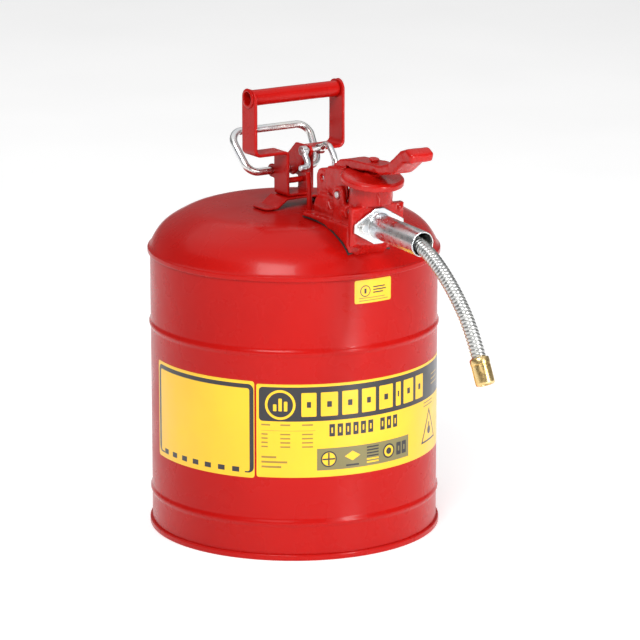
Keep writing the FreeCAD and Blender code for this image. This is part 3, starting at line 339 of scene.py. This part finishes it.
def plate_bosses(work):
    """Two rivet bosses on the plate behind the spout's flange."""
    radius, sunk = 4.3 * MM, 2.2 * MM
    outward = Vector((0, -math.cos(SPOUT_TILT), -math.sin(SPOUT_TILT)))
    upward = Vector((0, -math.sin(SPOUT_TILT), math.cos(SPOUT_TILT)))
    for across, up in ((25.5, 14.5), (-25.5, -15.0)):
        place = SPOUT_FACE + Vector((across * MM, 0, 0)) + upward * up * MM - outward * sunk
        made = bmesh.ops.create_uvsphere(work, u_segments=24, v_segments=16, radius=radius)["verts"]
        for vertex in made:
            vertex.co += place


ADDED = {"manifold": plate_bosses}
RESHAPED = {"manifold": melted_root, "lid_lever": thick_tongue}


def soften(node, material, voxel, rounds, lump_size=0.0, lump_depth=0.0):
    """The CAD node's shape with its edges rounded by a fine remesh, as paint or plating leaves them.

    The voxel and the lumps are in millimetres; rounds is how often the remeshed surface is relaxed.
    """
    piece = new_piece(node + "_finish", NODES[node].data.copy())
    work = bmesh.new()
    work.from_mesh(piece.data)
    bmesh.ops.remove_doubles(work, verts=work.verts, dist=1e-6)
    if node in ADDED:
        ADDED[node](work)
    work.to_mesh(piece.data)
    work.free()
    remesh = piece.modifiers.new("remesh", "REMESH")
    remesh.mode, remesh.voxel_size = "VOXEL", voxel * MM
    relax = piece.modifiers.new("relax", "SMOOTH")
    relax.factor, relax.iterations = 0.5, rounds
    apply_modifiers(piece)
    if node in RESHAPED:
        RESHAPED[node](piece.data)
    if lump_depth:
        lumpy(piece, lump_size * MM, lump_depth * MM)
    return finish_piece(piece, node, material, crease=180.0)


# ---------------------------------------------------------------- the can
def hoop(level, rise=1.7 * MM, half=5.0 * MM, steps=10):
    """A pressed rolling hoop: a smooth swell of the wall."""
    return [(WALL_RADIUS + rise * 0.5 * (1 + math.cos(math.pi * (2 * step / steps - 1))),
             level + half * (2 * step / steps - 1)) for step in range(steps + 1)]


def can_wall():
    low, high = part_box("body_shell")[0].z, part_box("body_shell")[1].z
    outer = [(WALL_RADIUS, low)] + hoop(38.5 * MM) + hoop(213.2 * MM) + [(WALL_RADIUS, high)]
    inner = [(radius - SHEET, height) for radius, height in reversed(outer)]
    piece = lathe("can_wall", outer + inner)
    lumpy(piece, 0.09, 0.00010)
    return finish_piece(piece, "body_shell", RED)


def seam_bead(level, half, depth):
    """A folded double seam: a flat-sided bead with round shoulders, seen in section from below to above."""
    tuck = 0.3 * MM
    return ([(WALL_RADIUS - tuck, level - half)]
            + arc((SEAM_RADIUS - depth, level - half + depth), depth, -80, 0, 5)
            + arc((SEAM_RADIUS - depth, level + half - depth), depth, 0, 80, 5))


def dome():
    """Pressed dome with its seam, a little uneven where the handle and the casting are welded on."""
    outline = [(0, 332.8), (30, 332.4), (60, 331.6), (80, 331.2), (92, 330.8), (100, 329.8), (108, 327.2),
               (116, 323.3), (124, 319.0), (131, 314.9), (137, 309.5), (141.5, 303.2), (144.6, 297.6),
               (146.6, 293.2)]
    skin = [(radius * MM, height * MM) for radius, height in outline]
    bead = seam_bead(288.4 * MM, 3.0 * MM, 1.5 * MM)
    inner = [(max(radius - SHEET * 0.7, 0.0), height - SHEET) for radius, height in skin]
    lip = (WALL_RADIUS - SHEET, 284.0 * MM)
    piece = lathe("dome_skin", inner + [lip] + bead + list(reversed(skin)))
    rise = piece.modifiers.new("smooth", "SUBSURF")
    rise.levels = rise.render_levels = 1
    apply_modifiers(piece)
    lumpy(piece, 0.045, 0.00045)
    return finish_piece(piece, "top_dome", RED, crease=60.0)


def base_seam():
    """The recessed bottom and the seam that the can stands on."""
    high, corner = 6.4 * MM, 1.6 * MM
    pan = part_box("bottom_pan")[1].z
    outer = ([(WALL_RADIUS - 2.4 * MM, 0.0)]
             + arc((SEAM_RADIUS - corner, corner), corner, -90, 0, 6)
             + arc((SEAM_RADIUS - corner, high - corner), corner, 0, 85, 6)
             + [(WALL_RADIUS - 1.0 * MM, high), (WALL_RADIUS - 1.25 * MM, pan), (0.0, pan)])
    underside = [(0.0, pan - SHEET), (WALL_RADIUS - 6.0 * MM, pan - SHEET),
                 (WALL_RADIUS - 3.0 * MM, pan - 2.6 * MM)]
    return finish_piece(lathe("base_seam", underside + outer), "bottom_pan", RED)


# ---------------------------------------------------------------- printed labels
def rounded(left, right, low, high, corner=0.0, steps=5):
    """Outline of a rectangle with rounded corners, in millimetres along and up the wall."""
    if corner == 0:
        return [(left, low), (right, low), (right, high), (left, high)]
    places = [((right - corner, high - corner), 0), ((left + corner, high - corner), 90),
              ((left + corner, low + corner), 180), ((right - corner, low + corner), 270)]
    return [point for centre, start in places for point in arc(centre, corner, start, start + 90, steps)]


def disc(across, up, radius, sides=40):
    return arc((across, up), radius, 0, 360 - 360 / sides, sides - 1)


class Label:
    """Shapes printed on one label, in millimetres along and up the wall.

    Each shape is an outline, an ink and a layer; a higher layer lies over a lower one.
    """

    def __init__(self):
        self.shapes = []

    def add(self, outline, ink, layer):
        self.shapes.append((outline, INKS.index(ink), layer))

    def bar(self, left, right, low, high, ink, layer, corner=0.0):
        self.add(rounded(left, right, low, high, corner), ink, layer)

    def ring(self, across, up, radius, width, ink, inner_ink, layer):
        self.add(disc(across, up, radius), ink, layer)
        self.add(disc(across, up, radius - width), inner_ink, layer + 1)

    def wrap(self, name, node):
        """Bend the flat shapes round the wall and give the film its thickness."""
        step, first, gap, thickness = 2.5, 0.20 * MM, 0.035 * MM, 0.03 * MM
        work = bmesh.new()
        for outline, ink, layer in self.shapes:
            flat = bmesh.new()
            flat.faces.new([flat.verts.new((across, up, 0)) for across, up in outline])
            left, right = min(point[0] for point in outline), max(point[0] for point in outline)
            place = math.ceil(left / step) * step
            while place < right - 1e-6:
                bmesh.ops.bisect_plane(flat, geom=flat.verts[:] + flat.edges[:] + flat.faces[:],
                                       plane_co=(place, 0, 0), plane_no=(1, 0, 0), dist=1e-7)
                place += step
            radius = WALL_RADIUS + first + gap * layer
            wrapped = {}
            for vertex in flat.verts:
                angle = vertex.co.x * MM / WALL_RADIUS
                wrapped[vertex] = work.verts.new((radius * math.sin(angle), -radius * math.cos(angle),
                                                  vertex.co.y * MM))
            for face in flat.faces:
                made = work.faces.new([wrapped[vertex] for vertex in face.verts])
                made.material_index = ink
            flat.free()
        work.normal_update()
        for face in work.faces:
            outward = Vector((face.calc_center_median().x, face.calc_center_median().y, 0))
            if face.normal.dot(outward) < 0:
                face.normal_flip()
        piece = from_bmesh(name, work)
        for ink in INKS:
            piece.data.materials.append(ink)
        film = piece.modifiers.new("film", "SOLIDIFY")
        film.thickness, film.offset = thickness, -1.0
        apply_modifiers(piece)
        return finish_piece(piece, node)


def along_wall(degrees):
    """Distance along the wall, in millimetres, of a bearing from the front."""
    return math.radians(degrees) * WALL_RADIUS / MM


def write_on_label():
    """An empty field in a thick black frame, which is dashed along the bottom."""
    label = Label()
    left, right, low, high = along_wall(-101.8), along_wall(-48.6), 84.5, 184.0
    label.bar(left, right, low, high, YELLOW, 0, 3.0)
    band, foot = 4.4, low + 6.5
    frame_left, frame_right, frame_low, frame_high = left + 2.2, right - 0.8, low + 5.0, high - 3.2
    label.bar(frame_left, frame_right, frame_low, frame_high, BLACK, 1, 6.0)
    label.bar(frame_left + band, frame_right - band, foot, frame_high - band, YELLOW, 2, 2.4)
    label.bar(left + 14.5, right - 10.2, low + 4.6, foot + 4.0, YELLOW, 3)
    dashes, half_dash, start, end = 7, 3.9, left + 19.0, right - 20.0
    for number in range(dashes):
        middle = start + (end - start) * number / (dashes - 1)
        label.bar(middle - half_dash, middle + half_dash, frame_low, low + 10.2, BLACK, 4)
    return label.wrap("write_on_panel", "write_on_label")


def name_label():
    """A black band with a round emblem and large blocks, over rows of small print."""
    label = Label()
    left, right, low, high = along_wall(-47.8), along_wall(51.8), 86.2, 181.8
    band_low, band_high = 144.0, 179.0
    label.bar(left, right, low, high, YELLOW, 0, 2.0)
    label.bar(left + 2.6, right - 0.6, band_low, band_high, BLACK, 1, 4.0)
    emblem, middle = left + 24.0, (band_low + band_high) / 2 - 0.5
    label.ring(emblem, middle, 15.2, 2.5, YELLOW, BLACK, 2)
    half_bar, foot = 1.7, middle - 6.5
    for offset, tall in ((-5.4, 7.0), (0.0, 13.0), (5.4, 10.0)):
        label.bar(emblem + offset - half_bar, emblem + offset + half_bar, foot, foot + tall, YELLOW, 4, 0.8)
    place = emblem + 21.0
    for width in (15.0, 17.5, 17.0, 16.0, 17.5, 7.0, 16.0, 15.0):
        label.bar(place, place + width, middle - 12.2, middle + 12.2, YELLOW, 2, 1.0)
        label.bar(place + width * 0.36, place + width * 0.64, middle - 3.0, middle + 3.0, BLACK, 3, 0.6)
        place += width + 4.4
    for row in range(3):
        level = middle - 5.0 + 5.0 * row
        label.bar(right - 36.0, right - 14.0, level, level + 1.4, UMBER, 2)
    place = emblem + 49.0
    for count in (6, 3):
        for _ in range(count):
            label.bar(place, place + 5.8, 127.4, 140.2, BLACK, 1, 0.5)
            label.bar(place + 2.1, place + 3.7, 131.0, 136.5, YELLOW, 2)
            place += 8.4
        place += 6.0
    small_table(label, left + 5.0)
    symbol_strip(label, left + 60.5)
    hazard_triangle(label, right - 41.7)
    return label.wrap("name_panel", "name_label")


def small_table(label, start):
    """Rows of short grey bars where the printed table is."""
    columns = ((0.0, 9.0), (19.0, 10.0), (40.5, 11.0))
    for offset, width in columns:
        label.bar(start + offset, start + offset + width, 139.4, 141.2, UMBER, 1)
    label.bar(start, start + 54.0, 134.2, 134.6, UMBER, 1)
    for row in range(4):
        level = 129.9 - 4.3 * row
        label.bar(start, start + 6.5, level, level + 1.6, UMBER, 1)
        for offset, width in columns[1:]:
            label.bar(start + offset, start + offset + width, level, level + 1.6, UMBER, 1)
    for row, width in enumerate((15.0, 26.0, 20.0)):
        level = 106.0 - 5.0 * row
        label.bar(start, start + width, level, level + 2.1, UMBER, 1)


def symbol_strip(label, start):
    """Dark strip of symbols: a crossed ring, a lozenge, stacked bars, a ring with a disc, two blocks."""
    low, high, width = 93.0, 115.5, 109.0
    middle = (low + high) / 2
    label.bar(start, start + width, low, high, OLIVE, 1)
    label.ring(start + 12.0, middle, 8.2, 1.4, BLACK, YELLOW, 2)
    label.bar(start + 5.5, start + 18.5, middle - 0.8, middle + 0.8, BLACK, 4)
    label.bar(start + 11.2, start + 12.8, middle - 6.5, middle + 6.5, BLACK, 4)
    centre = start + 37.0
    label.add([(centre - 8.5, middle + 1.5), (centre, middle - 3.5), (centre + 8.5, middle + 1.5),
               (centre, middle + 6.5)], YELLOW, 2)
    label.bar(centre - 7.0, centre + 7.0, low + 2.4, low + 4.2, BLACK, 2)
    for row in range(6):
        level = high - 4.0 - 3.1 * row
        ink = YELLOW if row > 3 else BLACK
        label.bar(start + 53.0, start + 67.0, level, level + 1.5, ink, 2)
    label.ring(start + 80.0, middle, 7.6, 1.8, BLACK, YELLOW, 2)
    label.add(disc(start + 80.0, middle, 3.4), BLACK, 4)
    for offset in (90.5, 98.5):
        label.bar(start + offset, start + offset + 6.4, middle - 6.5, middle + 6.5, BLACK, 2, 0.8)
        label.bar(start + offset + 2.2, start + offset + 4.2, middle - 2.5, middle + 2.5, OLIVE, 3)


def hazard_triangle(label, middle):
    """Plain triangle outline round a drop, with two lines of small print above."""
    low, half, tall = 98.5, 19.0, 35.0
    for inset, ink, layer in ((0.0, BLACK, 1), (2.0, YELLOW, 2)):
        narrow, sink = 1.7 * inset, 2.1 * inset
        label.add([(middle - half + narrow, low + inset), (middle + half - narrow, low + inset),
                   (middle, low + tall - sink)], ink, layer)
    label.add(disc(middle, low + 11.5, 4.2), BLACK, 3)
    label.bar(middle - 1.4, middle + 1.4, low + 11.0, low + 20.0, BLACK, 3)
    for row in range(2):
        label.bar(middle - 14.0, middle + 10.0, 136.4 + 3.6 * row, 137.8 + 3.6 * row, UMBER, 1)


def approval_label():
    """A small ring with lines of small print."""
    label = Label()
    left, right, low, high = along_wall(-9.0), along_wall(7.8), 260.2, 283.8
    label.bar(left, right, low, high, YELLOW, 0, 2.0)
    label.ring(left + 12.0, 272.5, 5.8, 0.9, BLACK, YELLOW, 1)
    label.bar(left + 10.8, left + 13.2, 270.0, 275.0, BLACK, 3)
    for row, width in enumerate((14.0, 15.5, 12.0)):
        label.bar(left + 21.0, left + 21.0 + width, 275.2 - 2.8 * row, 276.4 - 2.8 * row, BLACK, 1)
    for row, width in enumerate((30.0, 34.0)):
        label.bar(left + 5.0, left + 5.0 + width, 265.0 - 2.6 * row, 265.9 - 2.6 * row, UMBER, 1)
    return label.wrap("approval_panel", "approval_label")


# ---------------------------------------------------------------- hose
HOSE_ROUTE = [(162.98, 337.77), (193.92, 335.87), (228.0, 332.4), (262.5, 313.4), (295.5, 284.0),
              (314.5, 257.5), (322.5, 241.0)]
HOSE_RADIUS = 7.3 * MM


def route_line():
    """The hose's centreline: a smooth spline whose control points are the route's."""
    curve = bpy.data.curves.new("hose_line", "CURVE")
    curve.dimensions, curve.resolution_u = "3D", 48
    spline = curve.splines.new("NURBS")
    spline.points.add(len(HOSE_ROUTE) - 1)
    for point, (forward, level) in zip(spline.points, HOSE_ROUTE):
        point.co = (0.0, -forward * MM, level * MM, 1.0)
    spline.order_u = 3
    spline.use_endpoint_u = True
    line = bpy.data.objects.new("hose_line", curve)
    mesh = bpy.data.meshes.new_from_object(line)
    points = [vertex.co.copy() for vertex in mesh.vertices]
    bpy.data.objects.remove(line)
    return points


def spaced(points, step):
    """Points at an even spacing along a line."""
    reach = [0.0]
    for start, end in zip(points, points[1:]):
        reach.append(reach[-1] + (end - start).length)
    count = round(reach[-1] / step)
    found, segment = [], 0
    for number in range(count + 1):
        wanted = reach[-1] * number / count
        while segment < len(points) - 2 and reach[segment + 1] < wanted:
            segment += 1
        share = (wanted - reach[segment]) / (reach[segment + 1] - reach[segment])
        found.append(points[segment].lerp(points[segment + 1], min(share, 1.0)))
    return found, reach[-1]


def metal_hose():
    """Interlocked strip hose: a round tube whose wall rises and falls along a helix."""
    pitch, depth, around, step = 3.8 * MM, 1.0 * MM, 60, 0.38 * MM
    groove_share, dip, swell_share = 0.17, 0.12, 0.10
    path, length = spaced(route_line(), step)
    work = bmesh.new()
    rings = []
    sideways = Vector((1, 0, 0))
    for number, place in enumerate(path):
        ahead, behind = path[min(number + 1, len(path) - 1)], path[max(number - 1, 0)]
        upward = (ahead - behind).normalized().cross(sideways)
        ring = []
        for turn in range(around):
            angle = math.tau * turn / around
            phase = (number * length / (len(path) - 1) / pitch + turn / around) % 1.0
            groove = math.exp(-((phase - 0.5) / groove_share) ** 2)
            swell = swell_share * math.sin(math.tau * phase)
            radius = HOSE_RADIUS - depth * (groove + dip + swell)
            outward = math.cos(angle) * sideways + math.sin(angle) * upward
            ring.append(work.verts.new(place + radius * outward))
        rings.append(ring)
    for lower, upper in zip(rings, rings[1:]):
        for turn in range(around):
            ahead = (turn + 1) % around
            work.faces.new((lower[turn], lower[ahead], upper[ahead], upper[turn]))
    work.faces.new(reversed(rings[0]))
    work.faces.new(rings[-1])
    bmesh.ops.recalc_face_normals(work, faces=work.faces)
    piece = finish_piece(from_bmesh("metal_hose", work), "hose", HOSE, crease=70.0)
    return piece, path


def nozzle():
    """Turned brass end: a collar, a groove, a barrel and a rounded lip with its bore."""
    (back_y, back_z), (end_y, end_z) = HOSE_ROUTE[-2:]
    start = Vector((0.0, -end_y, end_z)) * MM
    direction = Vector((0.0, back_y - end_y, end_z - back_z)).normalized()
    collar = [(0.0, 0.0), (7.6, 0.0), (8.7, 0.3), (9.3, 0.9), (9.6, 1.8), (9.6, 6.4), (9.45, 6.9)]
    barrel = [(9.1, 7.1), (9.1, 7.7), (9.4, 8.0), (9.4, 24.4), (9.2, 25.6), (8.6, 26.5), (7.8, 27.0)]
    bore = [(6.7, 27.0), (6.1, 26.5), (6.0, 25.8), (6.0, 4.0), (0.0, 4.0)]
    profile = [(radius * MM, height * MM) for radius, height in collar + barrel + bore]
    piece = lathe("brass_nozzle", profile, start, direction, 64)
    return finish_piece(piece, "hose_nozzle", BRASS, crease=40.0)


# ---------------------------------------------------------------- build
hose_piece, hose_path = metal_hose()
nozzle_piece = nozzle()

can_wall()
dome()
base_seam()
write_on_label()
name_label()
approval_label()

# node: material, voxel, rounds, lump size and lump depth
PAINTED = {
    "manifold": (CASTING, 0.9, 7, 9.0, 0.55), "lid_lever": (CASTING, 0.7, 6, 8.0, 0.40),
    "lid_cap": (CASTING, 0.8, 4, 12.0, 0.22), "lid_stud": (CASTING, 0.5, 4, 5.0, 0.25),
    "handle_strap": (RED, 0.8, 4, 16.0, 0.18), "handle_saddle": (RED, 0.7, 5, 10.0, 0.30),
    "grip_tube": (RED, 0.5, 3, 20.0, 0.08), "handle_cross_pin": (RED, 0.5, 3, 6.0, 0.12),
    "stop_hook": (RED, 0.5, 4, 6.0, 0.20), "crank_plate": (RED, 0.5, 4, 6.0, 0.15),
}
for node, (material, voxel, rounds, lump_size, lump_depth) in PAINTED.items():
    soften(node, material, voxel, rounds, lump_size, lump_depth)

# node: voxel
PLATED = {"trigger_loop": 0.6, "crank_pin": 0.4, "stop_link": 0.5, "pull_rod": 0.5, "valve_arm": 0.45,
          "lever_pin": 0.45, "hose_shield": 0.5, "spout_screws": 0.35, "manifold_screws": 0.35}
PLATED_ROUNDS = 3
for node, voxel in PLATED.items():
    soften(node, ZINC, voxel, PLATED_ROUNDS)

for node, item in NODES.items():
    if not item.hide_render:
        paint(item.data, SLOT_MATERIAL[SLOT_OF[node]])
        shade_smooth(item.data, 30)


# ---------------------------------------------------------------- stage and light
def make_floor():
    """A wide pale floor that shines faintly, so that it is white up to the picture's edges."""
    work = bmesh.new()
    bmesh.ops.create_grid(work, x_segments=1, y_segments=1, size=6.0)
    piece = from_bmesh("floor", work)
    shader = Shader("pale_floor", (0.86, 0.86, 0.86), 0.6, Emission_Color=(1.0, 1.0, 1.0, 1.0),
                    Emission_Strength=0.38)
    shader.colour(shader.noise(3, 2), (0.3, (0.84, 0.84, 0.84)), (0.7, (0.88, 0.88, 0.88)))
    piece.data.materials.append(shader.material)


def area_light(name, place, target, width, height, power):
    data = bpy.data.lights.new(name, "AREA")
    data.shape, data.size, data.size_y, data.energy = "RECTANGLE", width, height, power
    light = bpy.data.objects.new(name, data)
    light.location = place
    light.rotation_mode = "QUATERNION"
    light.rotation_quaternion = (Vector(target) - Vector(place)).to_track_quat("-Z", "Y")
    light.visible_camera = False
    scene.collection.objects.link(light)


def make_light():
    world = bpy.data.worlds.new("studio")
    world.use_nodes = True
    background = world.node_tree.nodes["Background"]
    background.inputs["Color"].default_value = (1.0, 1.0, 1.0, 1.0)
    background.inputs["Strength"].default_value = 0.22
    scene.world = world
    middle = (0.0, 0.0, 0.22)
    area_light("overhead", (0.0, 0.8, 3.4), (0.0, 0.8, 0.0), 7.0, 7.0, 105)
    area_light("strip", (0.50, -2.50, 0.75), middle, 0.42, 1.5, 42)
    area_light("softbox", (-2.0, -1.7, 2.5), middle, 1.5, 1.0, 70)


make_floor()
make_light()
scene.view_settings.view_transform = "Standard"
